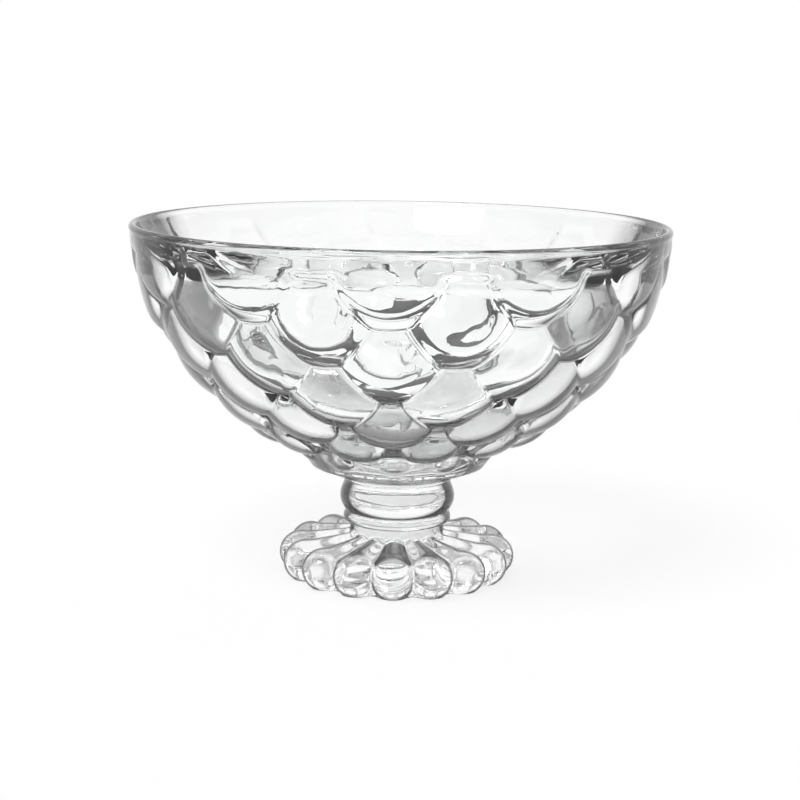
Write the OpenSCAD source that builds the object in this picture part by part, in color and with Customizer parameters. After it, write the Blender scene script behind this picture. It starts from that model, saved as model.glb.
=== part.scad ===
// Footed ice cream bowl in clear pressed glass: a scaled bowl on a knop, a collar and a scalloped foot.
// Millimetres, +Z up, origin at the centre of the face the foot rests on. The front looks along -Y.

/* [Bowl] */
// Outer diameter over the lip
rim_d = 120; // [112:1:128]
// Height of the bowl piece, from its seat on the knop to the lip
bowl_h = 58; // [54:1:62]
// Glass between the deepest point inside and the seat
floor_t = 6.5; // [5:0.5:9]
// Glass at the mouth, from the inside to the sphere of the scale tips
wall_t = 4.8; // [4.2:0.2:5.6]
// Thickness of the rounded lip
lip_t = 1.8; // [1.6:0.2:2.6]
// How far the lip stands out past the sphere of the scale tips
lip_flare = 0.45; // [0.3:0.05:0.9]
// How far the plain band stands out past the sphere of the scale tips
band_out = 0.2; // [0.1:0.05:0.3]
// Height of the plain band under the lip
band_h = 6.5; // [5:0.5:8]
// Diameter of the plain pad round the seat
pad_d = 38; // [34:1:40]

/* [Scales] */
// Rows of overlapping scales
scale_rows = 7; // [5:1:7]
// Scales in one row
scales_per_row = 12; // [10:1:14]
// Wall length from the lip to the tips of the first row
first_tip = 18.4; // [17.6:0.2:19]
// Wall length from one row of tips to the next
row_pitch = 9.3; // [9:0.1:9.5]
// Depth of the wall under the sphere of the scale tips, at the mouth
scale_step = 3.6; // [3.2:0.1:3.8]
// Depth of the wall under the sphere of the scale tips, at the seat
base_step = 4; // [3.6:0.1:4.2]
// How much further the first row's tips stand out than the middle rows'
row_bow = 1.1; // [0.6:0.1:1.4]
// How far a scale's face falls over the bevel along its edge
bevel_drop = 2.4; // [2:0.1:2.4]
// Slope of the bevel in the first row, degrees
bevel_slope = 38; // [34:1:42]
// How much flatter the bevel gets from row to row, degrees
bevel_ease = 6; // [4:0.5:7]
// Slope of the bevel in the lowest rows, degrees
bevel_least = 22; // [19:1:25]
// Slope of a scale's edge below the bevel, degrees
edge_slope = 62; // [54:1:68]
// Height of a scale's upper end over the wall, in the two rows that grow out of the band
first_root = 3; // [2.6:0.1:3.2]
// Height of a scale's upper end over the wall, in the rows below
root_rise = 2.3; // [1.9:0.1:2.5]
// Radius of the domed face of a first row scale
dome_r = 42; // [40:1:50]

/* [Knop] */
// Greatest diameter of the knop
knop_d = 26; // [25:0.2:30]
// Height of the knop
knop_h = 7.2; // [6:0.2:9]
// Diameter of the fused joint between the knop and the bowl
seat_d = 24; // [21:0.2:24.4]

/* [Collar] */
// Diameter of the bead under the knop
collar_d = 24.4; // [23.6:0.2:26]
// Height of the bead
collar_h = 2.8; // [2.2:0.1:3.6]
// Diameter of the fused joint between the knop and the collar
waist_d = 23; // [21.6:0.2:23.2]

/* [Foot] */
// Diameter over the petal tips
foot_d = 53.6; // [48:0.4:60]
// Height of the foot to its fused joint with the collar
foot_h = 12; // [11.4:0.2:15]
// Petals round the foot
petals = 16; // [14:1:18]
// Radius of a petal's rounded tip
petal_r = 4.7; // [4.4:0.1:5.2]
// Height of a petal's centre over the table
petal_z = 4.2; // [3.6:0.1:4.4]
// Diameter of the neck under the collar
neck_d = 21.2; // [18:0.2:22]
// Radius of the hollow sweep from the neck to the petals
sweep_r = 3.4; // [2.6:0.2:4]
// Width of the hollow under the foot
hollow_d = 28; // [20:1:32]
// Depth of the hollow under the foot
hollow_h = 2.4; // [1.2:0.2:3]

/* [Hidden] */
$fn = 96;
seat_z = foot_h + collar_h + knop_h;
rim_z = seat_z + bowl_h;
tip_mouth_r = rim_d / 2 - lip_flare;
// One sphere holds the scale tips, one the wall under them and one the inside
tip_r = cap_r(tip_mouth_r, bowl_h);
ball_z = seat_z + tip_r;
wall_r = cap_r(tip_mouth_r - scale_step, bowl_h - base_step);
wall_z = seat_z + base_step + wall_r;
inside_h = bowl_h - floor_t;
inside_r = cap_r(tip_mouth_r - wall_t, inside_h);
inside_z = seat_z + floor_t + inside_r;
lip_r = lip_t / 2;
lip_z = rim_z - lip_r;
lip_in_r = rim_d / 2 - lip_t;
lip_bell_h = 9;
// The bell inside the lip runs out where it meets the inside sphere
bell_z = lip_z - lip_bell_h;
bell_r = sqrt(inside_r * inside_r - (inside_z - bell_z) * (inside_z - bell_z)) - 0.6;
band_z = rim_z - band_h;
band_r = tip_r + band_out;
// The band tapers to the wall between the first scales
band_foot_z = band_z - 5;
band_foot_r = sqrt(wall_r * wall_r - (wall_z - band_foot_z) * (wall_z - band_foot_z)) - 0.5;
band_taper = 0.85;
rim_lat = asin((ball_z - rim_z) / tip_r);
joint_r = seat_d / 2;
pad_r = pad_d / 2;
// The pad's side leans out from this much inside its size to this much outside it
pad_under = 2;
pad_over = 4;
pad_run = 8;
waist_r = waist_d / 2;
knop_z = knop_h * 0.45;
knop_round = cap_r(knop_z, knop_d / 2 - waist_r);
bead_r = collar_h / 2 - 0.1;
neck_r = neck_d / 2;
petal_c = foot_d / 2 - petal_r;
petal_root_r = 11;
petal_drop = 4.3;
petal_root_z = foot_h - petal_drop;
petal_root_t = petal_root_r * sin(180 / petals) * 1.04;
petal_end_t = petal_r - 0.25;
plate_r = petal_c - 0.7;
plate_h = 4;
hollow_r = cap_r(hollow_d / 2, hollow_h);

// Radius of the sphere whose cap has this half width and this height
function cap_r(half, high) = (half * half + high * high) / (2 * high);
// Latitude below the middle of the bowl's sphere of the tips in row k
function tip_lat(k) = rim_lat + (first_tip + k * row_pitch) / tip_r * 180 / PI;
// Half the space between scales in row k, which is also the radius of their rounded ends
function scale_r(k) = PI * wall_r * cos(tip_lat(k)) / scales_per_row;
// Distance of the wall and of the tips of row k from the middle of the tips' sphere
function wall_at(k) = let(low = ball_z - wall_z, c = low * cos(tip_lat(k)))
    low * sin(tip_lat(k)) + sqrt(wall_r * wall_r - c * c);
function tip_at(k) = tip_r + row_bow * (pow(k / 3.5 - 1, 2) - 0.5);
// Slope of the bevel in row k
function bevel(k) = max(bevel_slope - k * bevel_ease, bevel_least);
// Radius of a sphere on a scale's axis through a point at radius p and angle g, with slope s there
function edge_r(p, g, s) = p * sin(g) / sin(g + s);
function edge_c(p, g, s) = p * cos(g) - edge_r(p, g, s) * cos(g + s);
// Centre of an arc of radius r through a and b, on the side of the bowl's middle
function arc_c(a, b, r) = let(d = a - b, l = norm(d))
    (a + b) / 2 + [d[1], -d[0]] / l * sqrt(r * r - l * l / 4);

// One scale, its axis along +Z and its tip towards +X: a domed face, a bevel and a steep edge
module scale_lens(k) {
    half = scale_r(k);
    low = wall_at(k);
    high = tip_at(k) - low;
    g = half / low * 180 / PI;
    face_r = dome_r * half / scale_r(0);
    tip = (low + high) * [sin(g), cos(g)];
    root = (low + (k < 2 ? first_root : root_rise)) * [-sin(0.75 * g), cos(0.75 * g)];
    face = arc_c(tip, root, face_r);
    // No scale reaches up past the middle of the plain band
    top = max(-half, half + band_h * 0.6 - first_tip - k * row_pitch);
    // The bevel starts where the steep edge has risen to it
    p_bevel = low + high - bevel_drop;
    g_bevel = g - (high - bevel_drop) / tan(edge_slope) / low * 180 / PI;
    intersection() {
        translate([face[0], 0, face[1]]) sphere(r = face_r);
        translate([0, 0, edge_c(low, g, edge_slope)]) sphere(r = edge_r(low, g, edge_slope));
        translate([0, 0, edge_c(p_bevel, g_bevel, bevel(k))]) sphere(r = edge_r(p_bevel, g_bevel, bevel(k)));
        translate([top, -half * 2, low * cos(g) - 0.6]) cube([half * 4, half * 4, half * 2]);
    }
}

// All rows of scales, each row turned half a space against the one above
module scales() {
    turn = 360 / scales_per_row;
    for (k = [0 : scale_rows - 1]) {
        lat = tip_lat(k) - scale_r(k) / wall_at(k) * 180 / PI;
        for (j = [0 : scales_per_row - 1])
            translate([0, 0, ball_z])
                rotate([0, 0, (j + (k % 2) / 2) * turn - 90])
                    rotate([0, 90 + lat, 0])
                        scale_lens(k);
    }
}

// Plain band and rounded lip
module band() {
    band_run = lip_z - band_foot_z;
    intersection() {
        translate([0, 0, ball_z]) sphere(r = band_r);
        translate([0, 0, band_foot_z])
            cylinder(r1 = band_foot_r, r2 = band_foot_r + band_run * band_taper, h = band_run);
    }
    rotate_extrude()
        translate([rim_d / 2 - lip_r, lip_z]) circle(r = lip_r);
}

// Outside of the bowl before it is hollowed
module bowl_block() {
    intersection() {
        translate([0, 0, wall_z]) sphere(r = wall_r);
        translate([0, 0, seat_z]) cylinder(r = rim_d, h = bowl_h - lip_t * 2);
    }
    band();
    scales();
    intersection() {
        translate([0, 0, ball_z]) sphere(r = tip_r - 0.2);
        translate([0, 0, seat_z]) cylinder(r1 = pad_r - pad_under, r2 = pad_r + pad_over, h = pad_run);
    }
    translate([0, 0, seat_z]) cylinder(r = joint_r, h = floor_t - 1);
}

// Bowl: everything above the knop
module bowl() {
    color([0.86, 0.92, 0.94, 0.5])
        difference() {
            bowl_block();
            translate([0, 0, inside_z]) sphere(r = inside_r);
            rotate_extrude()
                polygon([
                    [0, rim_z],
                    [lip_in_r - lip_r, rim_z],
                    [lip_in_r, lip_z],
                    [bell_r, bell_z],
                    [0, bell_z]
                ]);
        }
}

// Knop: a squat ball of glass fused to the bowl above it and the collar below it
module knop() {
    color([0.84, 0.90, 0.93, 0.5])
        translate([0, 0, foot_h + collar_h])
            rotate_extrude()
                intersection() {
                    union() {
                        translate([knop_d / 2 - knop_round, knop_z]) circle(r = knop_round);
                        square([waist_r, knop_z]);
                        translate([0, knop_z]) square([joint_r, knop_h - knop_z]);
                    }
                    square([knop_d, knop_h]);
                }
}

// Collar: a thin bead between the knop and the foot
module collar() {
    color([0.82, 0.89, 0.92, 0.5])
        translate([0, 0, foot_h])
            rotate_extrude() {
                translate([collar_d / 2 - bead_r, collar_h / 2]) circle(r = bead_r);
                square([neck_r, collar_h / 2]);
                translate([0, collar_h / 2]) square([waist_r, collar_h / 2]);
            }
}

// One petal along +X: a tapered ridge that ends in a round tip
module petal() {
    run = petal_c - 1 - petal_root_r;
    fall = petal_root_z - petal_z - 0.2;
    translate([petal_c, 0, petal_z]) sphere(r = petal_r);
    translate([petal_root_r, 0, petal_root_z])
        rotate([0, 90 + atan2(fall, run), 0])
            cylinder(r1 = petal_root_t, r2 = petal_end_t, h = norm([run, fall]));
}

// Foot: a ring of petals round a swept neck, hollowed underneath
module foot() {
    color([0.80, 0.88, 0.91, 0.5])
        difference() {
            union() {
                for (j = [0 : petals - 1])
                    rotate([0, 0, j * 360 / petals - 90]) petal();
                cylinder(r = plate_r, h = plate_h);
                rotate_extrude()
                    difference() {
                        square([neck_r + sweep_r, foot_h]);
                        translate([neck_r + sweep_r, foot_h - 0.3]) circle(r = sweep_r);
                        translate([neck_r, foot_h - 0.3]) square([sweep_r + 1, 1]);
                    }
            }
            translate([-foot_d, -foot_d, -foot_d]) cube([foot_d * 2, foot_d * 2, foot_d]);
            translate([0, 0, hollow_h - hollow_r]) sphere(r = hollow_r);
        }
}

bowl();
knop();
collar();
foot();
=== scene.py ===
import math

import bmesh
import bpy
import numpy as np
from bpy.props import FloatProperty, FloatVectorProperty, IntProperty, PointerProperty
from bpy.types import Operator, Panel, PropertyGroup
from mathutils import Matrix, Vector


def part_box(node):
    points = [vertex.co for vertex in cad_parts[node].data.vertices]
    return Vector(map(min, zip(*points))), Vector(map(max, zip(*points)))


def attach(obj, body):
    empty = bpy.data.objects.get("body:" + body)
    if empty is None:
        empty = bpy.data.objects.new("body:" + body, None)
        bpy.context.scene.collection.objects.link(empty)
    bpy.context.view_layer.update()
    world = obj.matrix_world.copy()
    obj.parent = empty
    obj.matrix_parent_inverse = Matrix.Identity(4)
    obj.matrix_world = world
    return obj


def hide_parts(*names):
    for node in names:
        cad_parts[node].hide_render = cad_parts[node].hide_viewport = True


bl_info = {
    "name": "Footed glass bowl",
    "version": (1, 0, 0),
    "blender": (4, 5, 0),
    "location": "View3D > Sidebar > Glass Bowl",
    "description": "Makes a pressed-glass ice cream bowl with scales, its foot and a studio table",
    "category": "Object",
}

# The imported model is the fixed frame, and every size below is in metres in that frame
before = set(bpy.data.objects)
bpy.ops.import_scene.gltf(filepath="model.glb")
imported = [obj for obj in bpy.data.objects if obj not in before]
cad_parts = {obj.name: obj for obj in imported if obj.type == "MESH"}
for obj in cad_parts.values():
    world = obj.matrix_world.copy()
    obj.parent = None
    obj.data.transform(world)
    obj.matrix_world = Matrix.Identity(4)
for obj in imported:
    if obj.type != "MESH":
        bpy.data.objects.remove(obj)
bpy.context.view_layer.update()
BOWL_LOW, BOWL_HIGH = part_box("bowl")
KNOP_LOW, KNOP_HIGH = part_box("knop")
COLLAR_LOW, COLLAR_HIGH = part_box("collar")
FOOT_LOW, FOOT_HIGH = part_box("foot")

MM = 0.001
FRONT = -math.pi / 2
WHITE = (1.0, 1.0, 1.0)


def length(name, description, default):
    """A size in metres that can be set in the sidebar."""
    return FloatProperty(
        name=name, description=description, default=default, min=0.0, unit="LENGTH", precision=5
    )


def slope(name, description, degrees):
    """An angle that can be set in the sidebar."""
    return FloatProperty(
        name=name, description=description, default=math.radians(degrees), min=0.0, subtype="ANGLE"
    )


def tint(name, description, default):
    """A colour that can be set in the sidebar."""
    return FloatVectorProperty(
        name=name, description=description, default=default, subtype="COLOR", min=0.0, max=1.0
    )


def number(name, description, default, least, most):
    """A count that can be set in the sidebar."""
    return IntProperty(name=name, description=description, default=default, min=least, max=most)


class GlassBowlSizes(PropertyGroup):
    """Sizes of the bowl and of the scales pressed into it."""

    rim_d: length("Rim", "Outside diameter of the mouth", BOWL_HIGH.x - BOWL_LOW.x)
    seat_z: length("Seat height", "Height of the joint between knop and bowl", BOWL_LOW.z)
    rim_z: length("Rim height", "Height of the mouth above the table", BOWL_HIGH.z)
    floor_t: length("Floor", "Glass under the middle of the bowl", 6.5 * MM)
    wall_t: length("Wall", "Glass at the tips of the scales", 4.8 * MM)
    lip_t: length("Lip", "Thickness of the rounded lip", 1.8 * MM)
    lip_flare: length("Lip flare", "How far the lip stands out past the scales", 0.45 * MM)
    band_h: length("Band", "Height of the plain band under the lip", 6.5 * MM)
    band_out: length("Band proud", "How far the band stands out past the scale tips", 0.2 * MM)
    pad_d: length("Pad", "Diameter of the plain pad under the bowl", 38 * MM)
    joint_d: length("Joint", "Diameter of the joint with the knop", 24 * MM)
    rows: number("Rows", "Rows of scales", 7, 1, 7)
    count: number("Scales", "Scales in each row", 12, 8, 16)
    first_tip: length("First tips", "From the rim to the tips of the first row", 18.4 * MM)
    row_pitch: length("Row pitch", "From the tips of one row to the next", 9.3 * MM)
    scale_step: length("Step", "Height of a scale's edge at the mouth", 3.6 * MM)
    base_step: length("Low step", "Height of a scale's edge at the bottom", 4.0 * MM)
    row_bow: length("Row bow", "How much more the first and last rows stand out", 1.1 * MM)
    dome_r: length("Dome", "Radius of a scale's face in the first row", 42 * MM)
    bevel_drop: length("Bevel", "How far a scale's face falls over its bevel", 2.4 * MM)
    bevel_slope: slope("Bevel slope", "Slope of the bevel in the first row", 38)
    bevel_ease: slope("Bevel ease", "How much flatter the bevel gets from row to row", 6)
    bevel_least: slope("Least bevel", "Slope of the bevel in the lowest rows", 22)
    edge_slope: slope("Edge slope", "Slope of the edge below the bevel", 62)
    first_root: length("First root", "Height of the upper ends of the first two rows", 3.0 * MM)
    root_rise: length("Root", "Height of the upper ends of the rows below", 2.3 * MM)


class GlassFootSizes(PropertyGroup):
    """Sizes of the knop, the collar and the petalled foot."""

    knop_d: length("Knop", "Diameter of the knop", KNOP_HIGH.x - KNOP_LOW.x)
    waist_d: length("Waist", "Diameter of the joint between knop and collar", 23 * MM)
    collar_d: length("Collar", "Diameter of the collar's bead", COLLAR_HIGH.x - COLLAR_LOW.x)
    neck_d: length("Neck", "Diameter of the foot's neck", 21.2 * MM)
    foot_d: length("Foot", "Diameter over the petals", FOOT_HIGH.x - FOOT_LOW.x)
    foot_h: length("Foot height", "Height of the foot", FOOT_HIGH.z)
    petals: number("Petals", "Petals round the foot", 16, 8, 24)
    petal_r: length("Petal", "Radius of a petal's round end", 4.7 * MM)
    petal_z: length("Petal height", "Height of the middle of a petal's end", 4.2 * MM)
    hollow_d: length("Hollow", "Width of the hollow under the foot", 28 * MM)
    hollow_h: length("Hollow height", "Depth of the hollow under the foot", 2.4 * MM)


class GlassColours(PropertyGroup):
    """Colours of the glass and of the table it stands on."""

    clear: tint("Clear glass", "Colour of the glass where it is clearest", (0.985, 0.99, 0.988))
    deep: tint("Deep glass", "Colour of the glass where it is deepest", (0.955, 0.965, 0.962))
    table: tint("Table", "Colour of the table", (0.93, 0.93, 0.93))


def cap_r(half, high):
    """Radius of the sphere whose cap has this half width and this height."""
    return (half * half + high * high) / (2 * high)


def smooth_max(a, b, k):
    """The larger of two surfaces or distances, with a fillet of about k between them."""
    near = np.maximum(k - np.abs(a - b), 0.0) / k
    return np.maximum(a, b) + near * near * k / 4


def smooth_min(a, b, k):
    """The smaller of two surfaces or distances, with a round of about k between them."""
    return -smooth_max(-a, -b, k)


def turns_of(n):
    """n even turns round the axis, the first one facing the front."""
    return FRONT + np.arange(n) * (2 * math.pi / n)


def nearest_side(turn, first, count):
    """Turn from the nearest of so many like forms round the axis, the first of them given."""
    step = 2 * math.pi / count
    return (turn - first + step / 2) % step - step / 2


def ring(radius, height, turns):
    """Points of one ring: a radius and a height at each turn round the axis."""
    radius = np.broadcast_to(radius, turns.shape)
    height = np.broadcast_to(height, turns.shape)
    return np.stack([radius * np.cos(turns), radius * np.sin(turns), height], axis=1)


def pole(height):
    """A ring that is a single point on the axis."""
    return np.array([[0.0, 0.0, height]])


def band_faces(a, n, b, m):
    """Faces between a ring of n points, numbered from a, and one of m points, numbered from b.

    The rings have the same number of points, or one has twice as many, or one is a pole.
    """
    if n == m:
        j = np.arange(n)
        k = (j + 1) % n
        return np.stack([a + j, b + j, b + k, a + k], axis=1).tolist()
    if n == 1:
        return [(a, b + j, b + (j + 1) % m) for j in range(m)]
    if m == 1:
        return [(a + j, b, a + (j + 1) % n) for j in range(n)]
    wide, thin = (a, b) if n > m else (b, a)
    few, many = min(n, m), max(n, m)
    faces = []
    for j in range(few):
        p, q, r = wide + 2 * j, wide + 2 * j + 1, wide + (2 * j + 2) % many
        s, t = thin + j, thin + (j + 1) % few
        fan = [(p, s, q), (q, s, t), (q, t, r)]
        faces += fan if n > m else [face[::-1] for face in fan]
    return faces


def put(name, data):
    """A new object in the scene."""
    made = bpy.data.objects.new(name, data)
    bpy.context.scene.collection.objects.link(made)
    return made


def skin(rings, name, fused=()):
    """A closed smooth mesh over a list of rings from pole to pole.

    fused lists the bands between rings that are melted to the next piece, by their first ring.
    """
    starts = np.cumsum([0] + [len(r) for r in rings])
    faces = []
    melted = []
    for i in range(len(rings) - 1):
        band = band_faces(starts[i], len(rings[i]), starts[i + 1], len(rings[i + 1]))
        faces += band
        melted += [i in fused] * len(band)
    mesh = bpy.data.meshes.new(name)
    mesh.from_pydata(np.concatenate(rings).tolist(), [], faces)
    outward = bmesh.new()
    outward.from_mesh(mesh)
    bmesh.ops.recalc_face_normals(outward, faces=outward.faces)
    outward.to_mesh(mesh)
    outward.free()
    mesh.polygons.foreach_set("use_smooth", [True] * len(mesh.polygons))
    mark = mesh.attributes.new("fused", "FLOAT", "FACE")
    mark.data.foreach_set("value", np.array(melted, np.float32))
    mesh.update()
    return put(name, mesh)


class BowlForm:
    """The outside of the bowl, as a distance from the middle of the sphere through the tips.

    Latitudes are angles down from the level of that middle.
    """

    EDGE_FILLET = 0.35 * MM
    EDGE_ROUND = 0.5 * MM
    BAND_FILLET = 0.8 * MM
    BAND_TAPER = 0.85
    BAND_FOOT = 5 * MM
    BAND_SINK = 0.5 * MM
    PAD_UNDER = 2 * MM
    PAD_LEAN = 0.75
    PAD_SHY = 0.2 * MM

    # Rows stand out along a curve, least of all at this row, and this much of it is taken off
    BOW_ROW = 3.5
    BOW_OFF = 0.5

    # Rows with the higher roots, and how far up a scale its root lies
    FIRST_ROWS = 2
    ROOT_SHARE = 0.75

    # Rings of the mesh: how many to a row, how they crowd to its edge, and their least gaps
    ROW_RINGS = 18
    ROW_CROWD = 1.6
    ROW_START = 0.3 * MM
    START_SHARE = 0.02
    ROW_GAP = math.radians(0.35)
    RING_GAP = ROW_GAP * 0.3

    # Latitudes of the lip's underside, the band's edge and the pad, with the rings round the pad
    LIP_LAT = math.radians(3.6)
    BAND_LAT = math.radians(12.4)
    PAD_LAT = math.radians(70.3)
    PAD_SHARES = (0.25, 0.6, 1.0)
    PAD_DEGREES = (70.7, 71.1, 71.6, 72.4, 73.6, 75.0, 76.4, 77.6)

    def __init__(self, s):
        self.s = s
        bowl_h = s.rim_z - s.seat_z
        mouth_r = s.rim_d / 2 - s.lip_flare
        self.tip_r = cap_r(mouth_r, bowl_h)
        self.ball_z = s.seat_z + self.tip_r
        self.wall_r = cap_r(mouth_r - s.scale_step, bowl_h - s.base_step)
        self.wall_z = s.seat_z + s.base_step + self.wall_r
        self.inside_r = cap_r(mouth_r - s.wall_t, bowl_h - s.floor_t)
        self.inside_z = s.seat_z + s.floor_t + self.inside_r
        self.rim_lat = math.asin((self.ball_z - s.rim_z) / self.tip_r)
        self.band_r = self.tip_r + s.band_out
        self.band_foot_z = s.rim_z - s.band_h - self.BAND_FOOT
        under = self.wall_z - self.band_foot_z
        self.band_foot_r = math.sqrt(self.wall_r**2 - under**2) - self.BAND_SINK
        self.rows = [self.scale_row(k) for k in range(s.rows)]

    def wall(self, lat):
        """Distance of the plain wall under the scales."""
        low = self.ball_z - self.wall_z
        return low * np.sin(lat) + np.sqrt(self.wall_r**2 - (low * np.cos(lat)) ** 2)

    def tip_lat(self, k):
        """Latitude of the tips of row k."""
        return self.rim_lat + (self.s.first_tip + k * self.s.row_pitch) / self.tip_r

    def half_width(self, k):
        """Half the width of a scale in row k."""
        return math.pi * self.wall_r * math.cos(self.tip_lat(k)) / self.s.count

    def scale_row(self, k):
        """Sizes of the scales in row k: each has a domed face, a bevel and a steep edge."""
        s = self.s
        low = float(self.wall(self.tip_lat(k)))
        high = self.tip_r + s.row_bow * ((k / self.BOW_ROW - 1) ** 2 - self.BOW_OFF) - low
        g = self.half_width(k) / low
        bevel = max(s.bevel_slope - k * s.bevel_ease, s.bevel_least)
        run_in = (high - s.bevel_drop) / math.tan(s.edge_slope)

        # The sphere of the face goes through the tip and the root
        face_r = s.dome_r * self.half_width(k) / self.half_width(0)
        tip = (low + high) * np.array([math.sin(g), math.cos(g)])
        root_at = low + (s.first_root if k < self.FIRST_ROWS else s.root_rise)
        root_g = self.ROOT_SHARE * g
        root = root_at * np.array([-math.sin(root_g), math.cos(root_g)])
        run = tip - root
        chord = math.hypot(run[0], run[1])
        sink = math.sqrt(face_r**2 - chord**2 / 4) / chord
        return {
            "lat": self.tip_lat(k) - g,
            "g": g,
            "face": (tip + root) / 2 + np.array([run[1], -run[0]]) * sink,
            "face_r": face_r,
            "phase": FRONT + (k % 2) * math.pi / s.count,
            "edge": self.rim_ball(low, g, s.edge_slope),
            "bevel": self.rim_ball(low + high - s.bevel_drop, g - run_in / low, bevel),
        }

    @staticmethod
    def rim_ball(far, angle, slope):
        """Centre and radius of the sphere on a scale's axis with this slope at a given place."""
        radius = far * math.sin(angle) / math.sin(angle + slope)
        return far * math.cos(angle) - radius * math.cos(angle + slope), radius

    def side(self, row, turn):
        """Turn from the middle of the nearest scale in a row."""
        return nearest_side(turn, row["phase"], self.s.count)

    def edge_lat(self, row, turn):
        """Latitude of a row's lower edge at each turn."""
        a = math.sin(row["lat"])
        b = math.cos(row["lat"]) * np.cos(self.side(row, turn))
        ratio = math.cos(row["g"]) / np.hypot(a, b)
        return np.arctan2(a, b) + np.arccos(np.minimum(ratio, 1.0))

    def scale(self, row, turn, lat):
        """Distance of a row of scales, whose edges fall under the wall."""
        side = self.side(row, turn)
        c = row["lat"]
        across = np.cos(lat) * np.cos(side)
        up = across * math.cos(c) + np.sin(lat) * math.sin(c)
        down = np.sin(lat) * math.cos(c) - across * math.sin(c)
        toward = down * row["face"][0] + up * row["face"][1]
        left = row["face_r"] ** 2 - row["face"] @ row["face"] + toward**2
        top = toward + np.sqrt(np.maximum(left, 0.0))
        for at, radius in (row["bevel"], row["edge"]):
            edge = at * up + np.sqrt(np.maximum(radius**2 - at**2 * (1 - up**2), 0.0))
            top = smooth_min(top, edge, self.EDGE_ROUND)
        return top

    def outside(self, turn, lat):
        """Distance of the finished outside: wall, scales, band and pad melted together."""
        s = self.s
        out = self.wall(lat)
        for row in self.rows:
            out = smooth_max(out, self.scale(row, turn, lat), self.EDGE_FILLET)
        drop = self.ball_z - self.band_foot_z
        lean = np.cos(lat) + self.BAND_TAPER * np.sin(lat)
        band = np.minimum(self.band_r, (self.band_foot_r + self.BAND_TAPER * drop) / lean)
        out = smooth_max(out, band, self.BAND_FILLET)
        lean = np.cos(lat) + self.PAD_LEAN * np.sin(lat)
        pad_side = (s.pad_d / 2 - self.PAD_UNDER + self.PAD_LEAN * self.tip_r) / lean
        pad = np.minimum(self.tip_r - self.PAD_SHY, pad_side)
        return smooth_max(out, pad, self.EDGE_FILLET)

    def outer_rings(self, turns):
        """Rings from under the lip down to the pad, which follow the scales' edges."""
        above = np.full(len(turns), self.LIP_LAT)
        lats = [above]
        for k, row in enumerate(self.rows):
            least = self.BAND_LAT if k == 0 else above + self.ROW_GAP
            below = np.maximum(self.edge_lat(row, turns), least)
            room = below - above
            lats.append(above + np.minimum(self.ROW_START / self.tip_r, self.START_SHARE * room))
            for i in range(self.ROW_RINGS - 1, -1, -1):
                lats.append(below - room * (i / self.ROW_RINGS) ** self.ROW_CROWD)
            above = below
        pad_lats = [above + (self.PAD_LAT - above) * part for part in self.PAD_SHARES]
        pad_lats += [math.radians(degrees) for degrees in self.PAD_DEGREES]
        for lat in pad_lats:
            lats.append(np.maximum(lats[-1] + self.RING_GAP, lat))
        rings = []
        for lat in lats:
            far = self.outside(turns, lat)
            rings.append(ring(far * np.cos(lat), self.ball_z - far * np.sin(lat), turns))
        return rings


# Points to a ring of the bowl. Inside rings have fewer, by their radius, and so have the last
# rings over the scales, where the bowl is narrow.
BOWL_TURNS = 720
INSIDE_TURNS = ((4 * MM, 45), (9 * MM, 90), (26 * MM, 180))
NARROW_RINGS = 68


def make_bowl(s):
    """The bowl: lip, band, scales and pad outside, a smooth round inside."""
    form = BowlForm(s)
    turns = turns_of(BOWL_TURNS)
    half_turns = turns_of(BOWL_TURNS // 2)
    lip_r = s.lip_t / 2
    lip_z = s.rim_z - lip_r
    lip_c = s.rim_d / 2 - lip_r
    rings = [pole(form.inside_z - form.inside_r)]

    # Inside, from the middle of the floor up to the bell under the lip
    for angle in np.radians(np.concatenate([[88.5, 87, 85, 82.5], np.arange(80, 15, -3.5)])):
        r = form.inside_r * math.cos(angle)
        n = next((n for limit, n in INSIDE_TURNS if r < limit), BOWL_TURNS // 2)
        rings.append(ring(r, form.inside_z - form.inside_r * math.sin(angle), turns_of(n)))
    bell_h, bell_sink, bell_fillet = 9 * MM, 0.6 * MM, 0.8 * MM
    under = form.inside_z - lip_z + bell_h
    bell_low = math.sqrt(form.inside_r**2 - under**2) - bell_sink
    lip_in = s.rim_d / 2 - s.lip_t
    for drop in np.array([9, 8, 7, 6, 5, 4, 3, 2, 1.2, 0.6]) * MM:
        z = lip_z - drop
        ball = math.sqrt(form.inside_r**2 - (form.inside_z - z) ** 2)
        bell = lip_in - (lip_in - bell_low) * drop / bell_h
        rings.append(ring(smooth_max(ball, bell, bell_fillet), z, half_turns))

    # Over the rounded lip
    for angle in np.radians([178, 160, 142, 124, 106, 90, 74, 58, 42, 26, 10, -6, -22, -36]):
        rings.append(ring(lip_c + lip_r * math.cos(angle), lip_z + lip_r * math.sin(angle), turns))

    # Down the scales, and round the pad to the joint
    outer = form.outer_rings(turns)
    rings += outer[:-NARROW_RINGS]
    rings += [r[::2] for r in outer[-NARROW_RINGS:]]
    joint = s.joint_d / 2
    pad_z = outer[-1][:, 2].mean()
    for out, fall in ((0.32, 0.2), (0.1, 0.45), (0.02, 0.75)):
        rings.append(ring(joint + out * MM, pad_z + (s.seat_z - pad_z) * fall, half_turns))
    rings.append(ring(joint, s.seat_z, half_turns))
    rings.append(ring(joint * 0.5, s.seat_z, turns_of(BOWL_TURNS // 4)))
    rings.append(ring(joint * 0.2, s.seat_z, turns_of(BOWL_TURNS // 8)))
    rings.append(pole(s.seat_z))
    return skin(rings[::-1], "glass_bowl", fused=(0, 1, 2))


# Points to a ring of a turned piece, and the share of an end's radius where they get fewer
TURNED_TURNS = 192
END_SHARE = 0.4


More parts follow.
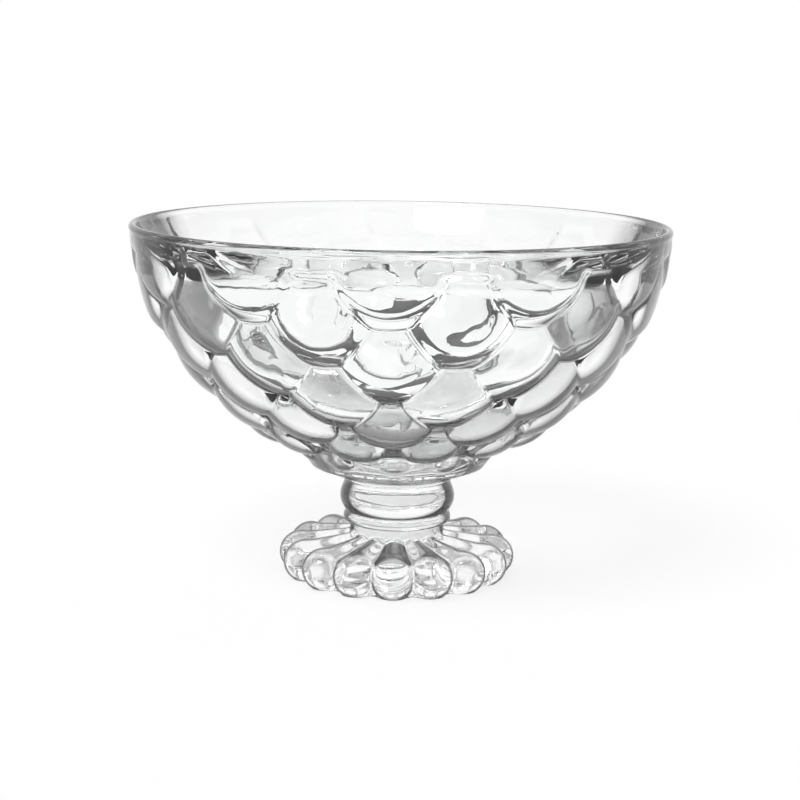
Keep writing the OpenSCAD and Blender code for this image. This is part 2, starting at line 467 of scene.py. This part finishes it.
def make_turned(name, profile):
    """A turned piece from a profile of radius and height, melted to others at both ends."""
    few = turns_of(TURNED_TURNS // 2)
    (first_r, first_z), (last_r, last_z) = profile[0], profile[-1]
    rings = [pole(first_z), ring(first_r * END_SHARE, first_z, few)]
    rings += [ring(r, z, turns_of(TURNED_TURNS)) for r, z in profile]
    rings += [ring(last_r * END_SHARE, last_z, few), pole(last_z)]
    last = len(rings) - 1
    return skin(rings, name, fused=(0, 1, last - 2, last - 1))


def make_knop(f, b):
    """The knop: a squat ball of glass between the collar and the bowl."""
    low, high = KNOP_LOW.z, KNOP_HIGH.z
    widest, fillet, steps = 0.45, 1.2 * MM, 33
    middle = widest * (high - low)
    round_r = cap_r(middle, f.knop_d / 2 - f.waist_d / 2)
    zs = np.linspace(0.0, high - low, steps)
    arc = f.knop_d / 2 - round_r + np.sqrt(np.maximum(round_r**2 - (zs - middle) ** 2, 0.0))
    neck = np.where(zs > middle, b.joint_d / 2, 0.0)
    r = smooth_max(arc, neck, fillet)
    r[0], r[-1] = f.waist_d / 2, b.joint_d / 2
    return make_turned("glass_knop", list(zip(r, zs + low)))


def make_collar(f):
    """The collar: a thin bead between the foot's neck and the knop."""
    low, high = COLLAR_LOW.z, COLLAR_HIGH.z
    shy, steps = 0.1 * MM, 25
    bead = (high - low) / 2 - shy
    zs = (high - low) / 2 * (1 - np.cos(np.linspace(0, math.pi, steps)))
    off = zs - (high - low) / 2
    arc = f.collar_d / 2 - bead + np.sqrt(np.maximum(bead**2 - off**2, 0.0))
    side = np.where(off < 0, f.neck_d / 2, f.waist_d / 2)
    r = np.maximum(arc, side)
    r[0], r[-1] = f.neck_d / 2, f.waist_d / 2
    return make_turned("glass_collar", list(zip(r, zs + low)))


def foot_distance(f, side, r, z):
    """Distance to the foot at a turn from the nearest petal's middle, a radius and a height."""
    x, y = r * np.cos(side), r * np.sin(side)

    # A petal's round end, and the ridge that narrows from it up to the root at the neck
    petal_c = f.foot_d / 2 - f.petal_r
    end = np.sqrt((x - petal_c) ** 2 + y**2 + (z - f.petal_z) ** 2) - f.petal_r
    tip_r, tip_z, tip_t = petal_c - 1 * MM, f.petal_z + 0.2 * MM, f.petal_r - 0.25 * MM
    root_r, root_z, root_full = 11 * MM, f.foot_h - 4.3 * MM, 1.04
    root_t = root_r * math.sin(math.pi / f.petals) * root_full
    run = np.array([tip_r - root_r, tip_z - root_z])
    along = np.clip(((x - root_r) * run[0] + (z - root_z) * run[1]) / (run @ run), 0.0, 1.0)
    off = np.sqrt((x - root_r - along * run[0]) ** 2 + y**2 + (z - root_z - along * run[1]) ** 2)
    ridge = off - (root_t + (tip_t - root_t) * along)
    solid = smooth_min(end, ridge, 1 * MM)

    # The plate under the petals, and the shallow cone that fills the grooves between them
    plate_r, plate_z = petal_c - 0.7 * MM, 4 * MM
    plate = np.maximum(r - plate_r, z - plate_z)
    solid = smooth_min(solid, plate, 0.6 * MM)
    cone_r, cone_z, cone_end = 10 * MM, 9.1 * MM, petal_c + 0.3 * MM
    cone_up, cone_out = 0.95, 0.16
    cone = np.maximum(cone_up * (z - cone_z) + cone_out * (r - cone_r), r - cone_end)
    solid = smooth_min(solid, cone, 1 * MM)

    # The neck, straight at first and then swept out over the petals
    sweep, straight, spread, neck_over = 3.4 * MM, 0.6, 0.9, 2 * MM
    rise = np.clip((f.foot_h - z) / sweep - straight, 0.0, 1.0)
    neck = r - (f.neck_d / 2 + sweep * (1 - np.sqrt(1 - rise**2)) * spread)
    return smooth_min(solid, np.maximum(neck, z - f.foot_h - neck_over), 0.8 * MM)


# Points to a petal, and the steps of the search for the foot's outside
PETAL_TURNS = 30
SEARCH_STEPS = 240
HALVINGS = 18


def make_foot(f):
    """The foot: a short neck that spreads into a ring of round petals, hollow underneath."""
    n = f.petals * PETAL_TURNS
    turns = turns_of(n)
    side = nearest_side(turns, FRONT, f.petals)
    neck_r = f.neck_d / 2
    rings = [pole(f.foot_h)]
    rings.append(ring(neck_r * 0.4, f.foot_h, turns_of(n // 4)))
    rings.append(ring(neck_r * 0.7, f.foot_h, turns_of(n // 2)))
    rings.append(ring(neck_r, f.foot_h, turns))

    # Outwards from an eye on the axis, the last crossing of the melted solid
    eye, near, reach = 4 * MM, 6 * MM, f.foot_d / 2 + 1 * MM
    base_r, base_z = f.foot_d / 2 - 2 * MM, 0.45 * MM
    window = reach / 200

    def inside(at, angle):
        return foot_distance(f, side, at * math.cos(angle), eye + at * math.sin(angle)) < 0

    top, shoulder = math.atan2(f.foot_h - eye, neck_r), 0.12
    base = math.atan2(base_z - eye, base_r)
    upper, lower = np.linspace(top, shoulder, 30)[1:], np.linspace(shoulder, base, 18)[1:]
    for angle in np.concatenate([upper, lower]):
        limit = reach / math.cos(angle)
        far = np.full(n, limit)
        for share in np.linspace(1.0, 0.0, SEARCH_STEPS):
            at = near + (limit - near) * share
            far = np.where(inside(at, angle) & (far == limit), at, far)
        low, high = far - window, far + window
        for _ in range(HALVINGS):
            at = (low + high) / 2
            within = inside(at, angle)
            low, high = np.where(within, at, low), np.where(within, high, at)
        rings.append(ring(low * math.cos(angle), eye + low * math.sin(angle), turns))

    # Under the foot: the ground edge, the flat ring and the hollow
    edge = np.hypot(rings[-1][:, 0], rings[-1][:, 1])
    rings.append(ring(edge - 0.35 * MM, 0.12 * MM, turns))
    rings.append(ring(edge - 0.75 * MM, 0.0, turns))
    hollow = f.hollow_d / 2
    rings.append(ring(hollow + (edge - hollow) * 0.4, 0.0, turns))
    hollow_r = cap_r(hollow, f.hollow_h)
    for part in (1.0, 0.96, 0.9, 0.8, 0.68, 0.55, 0.42, 0.3, 0.18, 0.08):
        r = hollow * part
        z = f.hollow_h - hollow_r + math.sqrt(hollow_r**2 - r**2)
        points = n if part > 0.5 else n // 2 if part > 0.25 else n // 4
        rings.append(ring(r, z, turns_of(points)))
    rings.append(pole(f.hollow_h))
    last = len(rings) - 1
    return skin(rings[::-1], "glass_foot", fused=(last - 3, last - 2, last - 1))


class Wire:
    """A node's output that can be used in sums, each of which adds a Math node."""

    def __init__(self, sheet, socket):
        self.sheet = sheet
        self.socket = socket

    def sum(self, operation, *inputs):
        return self.sheet.add("ShaderNodeMath", {"operation": operation}, dict(enumerate(inputs)))

    def __add__(self, other):
        return self.sum("ADD", self, other)

    __radd__ = __add__

    def __sub__(self, other):
        return self.sum("SUBTRACT", self, other)

    def __rsub__(self, other):
        return self.sum("SUBTRACT", other, self)

    def __mul__(self, other):
        return self.sum("MULTIPLY", self, other)

    __rmul__ = __mul__

    def __truediv__(self, other):
        return self.sum("DIVIDE", self, other)

    def __rtruediv__(self, other):
        return self.sum("DIVIDE", other, self)

    def clamp(self):
        """The value kept between 0 and 1."""
        return self.sum("MINIMUM", self.sum("MAXIMUM", self, 0.0), 1.0)

    def rise(self, start, steep):
        """0 up to a start, and then rising to 1 as steeply as asked."""
        return ((self - start) * steep).clamp()


class Sheet:
    """The nodes of one material or of the world."""

    def __init__(self, owner):
        owner.use_nodes = True
        self.tree = owner.node_tree
        self.tree.nodes.clear()

    def add(self, kind, settings=None, inputs=None, out=0):
        """A node of this type, its settings made first and then its sockets.

        The output asked for comes back as a wire.
        """
        node = self.tree.nodes.new(kind)
        for key, value in (settings or {}).items():
            if key == "stops":
                self.set_stops(node.color_ramp, value)
            else:
                setattr(node, key, value)
        for key, value in (inputs or {}).items():
            socket = node.inputs[key]
            if isinstance(value, Wire):
                self.tree.links.new(value.socket, socket)
            else:
                socket.default_value = value
        return Wire(self, node.outputs[out]) if node.outputs else None

    @staticmethod
    def set_stops(ramp, stops):
        """Gives a ramp its greys, each at a place from 0 to 1."""
        while len(ramp.elements) < len(stops):
            ramp.elements.new(1.0)
        for element, (place, grey) in zip(ramp.elements, stops):
            element.position = place
            element.color = (grey, grey, grey, 1.0)

    def noise(self, place, scale, detail=2.0):
        """A noise value round 0.5 in space, at so many features to the metre."""
        inputs = {"Vector": place, "Scale": scale, "Detail": detail}
        return self.add("ShaderNodeTexNoise", {}, inputs)

    def mix_colour(self, factor, first, second):
        """The first colour where the factor is 0, and the second where it is 1."""
        first, second = (c if isinstance(c, Wire) else (*c, 1.0) for c in (first, second))
        settings = {"data_type": "RGBA"}
        return self.add("ShaderNodeMix", settings, {0: factor, 6: first, 7: second}, out=2)

    def mix_shader(self, factor, first, second):
        """The first shader where the factor is 0, and the second where it is 1."""
        return self.add("ShaderNodeMixShader", {}, {0: factor, 1: first, 2: second})

    def place(self):
        """Where a point lies on the object."""
        return self.add("ShaderNodeTexCoord", out="Object")

    def height(self, place):
        """The upward part of a place or a way."""
        return self.add("ShaderNodeSeparateXYZ", {}, {0: place}, out="Z")

    def ray(self, kind):
        """What the light path says of a ray, such as 1 for Is Camera Ray."""
        return self.add("ShaderNodeLightPath", out=kind)


# How fast the painted shade turns glass grey towards its edges, and how much of the light its
# shadow lets through
EDGE_SHADE_STEEP = 6.5
SHADOW_THROUGH = 0.3


def pressed_glass(name, colours, shift, edge, grey, wear_z=None):
    """Clear pressed glass with waves and ripples from the mould, a changing tint and specks.

    shift moves these on each piece. Glass that is seen edge-on, from the share edge on, turns
    grey by painted shade, which stands in for dark surroundings seen through its edges. wear_z
    is the height of the matt ring that is worn where the piece stands.
    """
    material = bpy.data.materials.new(name)
    sheet = Sheet(material)
    place = sheet.place()
    shifted = {0: place, 1: (shift, 0.0, shift)}
    moved = sheet.add("ShaderNodeVectorMath", {"operation": "ADD"}, shifted)
    waves = sheet.noise(moved, scale=55.0)
    ripples = sheet.noise(moved, scale=190.0, detail=1.0)
    specks = sheet.noise(moved, scale=1400.0, detail=3.0)
    colour = sheet.mix_colour(waves.rise(start=0.35, steep=2.5), colours.clear, colours.deep)
    # Painted shade: towards a grazing view the glass colour goes to the given grey, as if dark
    # surroundings showed through its edges
    facing = sheet.add("ShaderNodeLayerWeight", {}, {"Blend": 0.5}, out="Facing")
    colour = sheet.mix_colour(facing.rise(edge, EDGE_SHADE_STEEP), colour, (grey, grey, grey))
    rough = specks.rise(start=0.62, steep=0.35) * 0.5 + waves.rise(start=0.5, steep=0.03)
    if wear_z is not None:
        worn = (1 - sheet.height(place) / wear_z).clamp()
        rough = rough + worn * specks * 0.35
    relief = waves * 0.6 + ripples * 0.4
    inputs = {"Strength": 0.3, "Distance": 0.4 * MM, "Height": relief}
    bump = sheet.add("ShaderNodeBump", {}, inputs)
    inputs = {"Base Color": colour, "Roughness": rough, "Normal": bump}
    inputs |= {"Transmission Weight": 1.0, "IOR": 1.5}
    glass = sheet.add("ShaderNodeBsdfPrincipled", {}, inputs)

    # Nothing shows where pieces are melted together, and shadows are light
    through = sheet.add("ShaderNodeBsdfTransparent", {}, {0: (*WHITE, 1.0)})
    fused = sheet.add("ShaderNodeAttribute", {"attribute_name": "fused"}, out="Fac")
    see = (fused + sheet.ray("Is Shadow Ray") * SHADOW_THROUGH).clamp()
    surface = sheet.mix_shader(see, glass, through)
    sheet.add("ShaderNodeOutputMaterial", {}, {"Surface": surface})
    return material


# How white the table is to the camera and in the glass, whatever light falls on it
TABLE_SEEN = 0.8
TABLE_IN_GLASS = 0.05


def table_finish(colours):
    """A matt white table that keeps a faint shadow."""
    material = bpy.data.materials.new("white_table")
    sheet = Sheet(material)
    grain = sheet.noise(sheet.place(), scale=400.0, detail=4.0)
    colour = sheet.mix_colour(grain * 0.3, colours.table, (0.97, 0.97, 0.97))
    matt = sheet.add("ShaderNodeBsdfDiffuse", {}, {"Color": colour})
    white = sheet.add("ShaderNodeEmission", {}, {"Color": (*WHITE, 1.0), "Strength": 1.0})
    seen = sheet.ray("Is Camera Ray") * TABLE_SEEN
    in_glass = (sheet.ray("Is Glossy Ray") + sheet.ray("Is Transmission Ray")) * TABLE_IN_GLASS
    surface = sheet.mix_shader((seen + in_glass).clamp(), matt, white)
    sheet.add("ShaderNodeOutputMaterial", {}, {"Surface": surface})
    return material


# Brightness of the room behind two walls of glass, from straight down at 0 to straight up at 1:
# white but for a dark band round the horizon
ROOM_STOPS = ((0.34, 1.0), (0.39, 0.4), (0.42, 0.0), (0.62, 0.0), (0.72, 1.0))
ROOM_LIGHT = (0.55, 0.55, 0.55)


def studio_world():
    """A soft even light that looks white to the camera, in gloss and through one wall of glass.

    Through two walls it has a dark band, as if dark cards stood round the table. A ray crosses
    two surfaces in one wall and four in two.
    """
    world = bpy.context.scene.world or bpy.data.worlds.new("studio")
    bpy.context.scene.world = world
    sheet = Sheet(world)
    height = sheet.height(sheet.add("ShaderNodeTexCoord", out="Generated"))
    room = sheet.add("ShaderNodeValToRGB", {"stops": ROOM_STOPS}, {0: height * 0.5 + 0.5})
    walls = sheet.ray("Transmission Depth").rise(start=2, steep=0.5)
    shown = sheet.mix_colour(walls, WHITE, room)
    seen = sheet.ray("Is Camera Ray") + sheet.ray("Is Glossy Ray")
    seen = (seen + sheet.ray("Is Transmission Ray")).clamp()
    colour = sheet.mix_colour(seen, ROOM_LIGHT, shown)
    background = sheet.add("ShaderNodeBackground", {}, {"Color": colour, "Strength": 1.0})
    sheet.add("ShaderNodeOutputWorld", {}, {"Surface": background})


# The table lies a hair below the foot
TABLE_R = 0.8
TABLE_Z = -0.05 * MM
TABLE_TURNS = 96


def make_table(colours):
    """The round white table."""
    mesh = bpy.data.meshes.new("table")
    edge = ring(TABLE_R, 0.0, turns_of(TABLE_TURNS))
    mesh.from_pydata(edge.tolist(), [], [list(range(len(edge)))])
    mesh.materials.append(table_finish(colours))
    table = put("table", mesh)
    table.location.z = TABLE_Z
    return table


def make_key_light():
    """One broad soft lamp from the upper left."""
    sun = bpy.data.lights.new("key", "SUN")
    sun.energy = 1.9
    sun.angle = math.radians(25)
    key = put("key", sun)
    key.rotation_euler = (math.radians(28), math.radians(-18), 0.0)


# The camera as fitted to the picture: side of the picture, focal length and shift in its pixels,
# distance from the axis, height, and how far it is turned round the bowl, tipped down and rolled
PICTURE_PX = 800
FOCAL_PX = 1891.6
SHIFT_PX = 1.5
SENSOR = 36.0
CAMERA_FAR = 0.42
CAMERA_Z = 0.11845
CAMERA_TURN = math.radians(2.0)
CAMERA_PITCH = math.radians(10.6)
CAMERA_ROLL = math.radians(0.8)


def make_camera():
    """The camera in front of the bowl, a little above the rim."""
    lens = bpy.data.cameras.new("camera")
    lens.sensor_width = SENSOR
    lens.lens = FOCAL_PX * SENSOR / PICTURE_PX
    lens.shift_x = SHIFT_PX / PICTURE_PX
    lens.clip_start = 0.01
    lens.clip_end = 200.0
    camera = put("camera", lens)
    x, y = CAMERA_FAR * math.sin(CAMERA_TURN), -CAMERA_FAR * math.cos(CAMERA_TURN)
    camera.matrix_world = (
        Matrix.Translation((x, y, CAMERA_Z))
        @ Matrix.Rotation(CAMERA_TURN, 4, "Z")
        @ Matrix.Rotation(math.pi / 2 - CAMERA_PITCH, 4, "X")
        @ Matrix.Rotation(CAMERA_ROLL, 4, "Z")
    )
    return camera


def dress(piece, node, material):
    """Gives a piece its glass and its place on the frame, and hides the CAD node that it stands
    for.
    """
    piece.data.materials.append(material)
    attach(piece, "root")
    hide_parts(node)


class GLASSBOWL_OT_bowl(Operator):
    """Make the bowl with its lip, band and overlapping scales"""

    bl_idname = "glassbowl.bowl"
    bl_label = "Bowl"

    def execute(self, context):
        scene = context.scene
        colours = scene.glass_bowl_colours
        piece = make_bowl(scene.glass_bowl_sizes)
        glass = pressed_glass("bowl_glass", colours, shift=0.0, edge=0.47, grey=0.025)
        dress(piece, "bowl", glass)
        return {"FINISHED"}


class GLASSBOWL_OT_stem(Operator):
    """Make the knop under the bowl and the collar under the knop"""

    bl_idname = "glassbowl.stem"
    bl_label = "Knop and collar"

    def execute(self, context):
        scene = context.scene
        colours = scene.glass_bowl_colours
        knop = make_knop(scene.glass_foot_sizes, scene.glass_bowl_sizes)
        glass = pressed_glass("knop_glass", colours, shift=0.3, edge=0.31, grey=0.002)
        dress(knop, "knop", glass)
        collar = make_collar(scene.glass_foot_sizes)
        glass = pressed_glass("collar_glass", colours, shift=0.6, edge=0.4, grey=0.01)
        dress(collar, "collar", glass)
        return {"FINISHED"}


class GLASSBOWL_OT_foot(Operator):
    """Make the foot with its ring of petals"""

    bl_idname = "glassbowl.foot"
    bl_label = "Foot"

    def execute(self, context):
        scene = context.scene
        colours = scene.glass_bowl_colours
        piece = make_foot(scene.glass_foot_sizes)
        glass = pressed_glass(
            "foot_glass", colours, shift=0.9, edge=0.5, grey=0.004, wear_z=0.3 * MM
        )
        dress(piece, "foot", glass)
        return {"FINISHED"}


class GLASSBOWL_OT_stage(Operator):
    """Set the white table, the studio light and the camera"""

    bl_idname = "glassbowl.stage"
    bl_label = "Table, light and camera"

    def execute(self, context):
        scene = context.scene
        table = make_table(scene.glass_bowl_colours)
        studio_world()
        make_key_light()
        scene.camera = make_camera()

        # Light that is caught in the walls needs many bounces, or it comes out black
        scene.cycles.max_bounces = 32
        scene.cycles.glossy_bounces = 6
        scene.cycles.transmission_bounces = 24
        scene.view_settings.view_transform = "Standard"
        return {"FINISHED"}


class GLASSBOWL_PT_sidebar(Panel):
    """Sizes and colours of the bowl, and the steps that make it"""

    bl_label = "Glass Bowl"
    bl_space_type = "VIEW_3D"
    bl_region_type = "UI"
    bl_category = "Glass Bowl"

    def draw(self, context):
        for name in GROUPS:
            group = getattr(context.scene, name)
            box = self.layout.box()
            for key in group.__annotations__:
                box.prop(group, key)
        for step in STEPS:
            self.layout.operator(step.bl_idname)


GROUPS = {
    "glass_bowl_sizes": GlassBowlSizes,
    "glass_foot_sizes": GlassFootSizes,
    "glass_bowl_colours": GlassColours,
}
STEPS = (GLASSBOWL_OT_bowl, GLASSBOWL_OT_stem, GLASSBOWL_OT_foot, GLASSBOWL_OT_stage)
CLASSES = (*GROUPS.values(), *STEPS, GLASSBOWL_PT_sidebar)


def register():
    for cls in CLASSES:
        bpy.utils.register_class(cls)
    for key, group in GROUPS.items():
        setattr(bpy.types.Scene, key, PointerProperty(type=group))


def unregister():
    for key in GROUPS:
        delattr(bpy.types.Scene, key)
    for cls in reversed(CLASSES):
        bpy.utils.unregister_class(cls)


def main():
    register()
    bpy.ops.glassbowl.bowl()
    bpy.ops.glassbowl.stem()
    bpy.ops.glassbowl.foot()
    bpy.ops.glassbowl.stage()


if __name__ == "__main__":
    main()
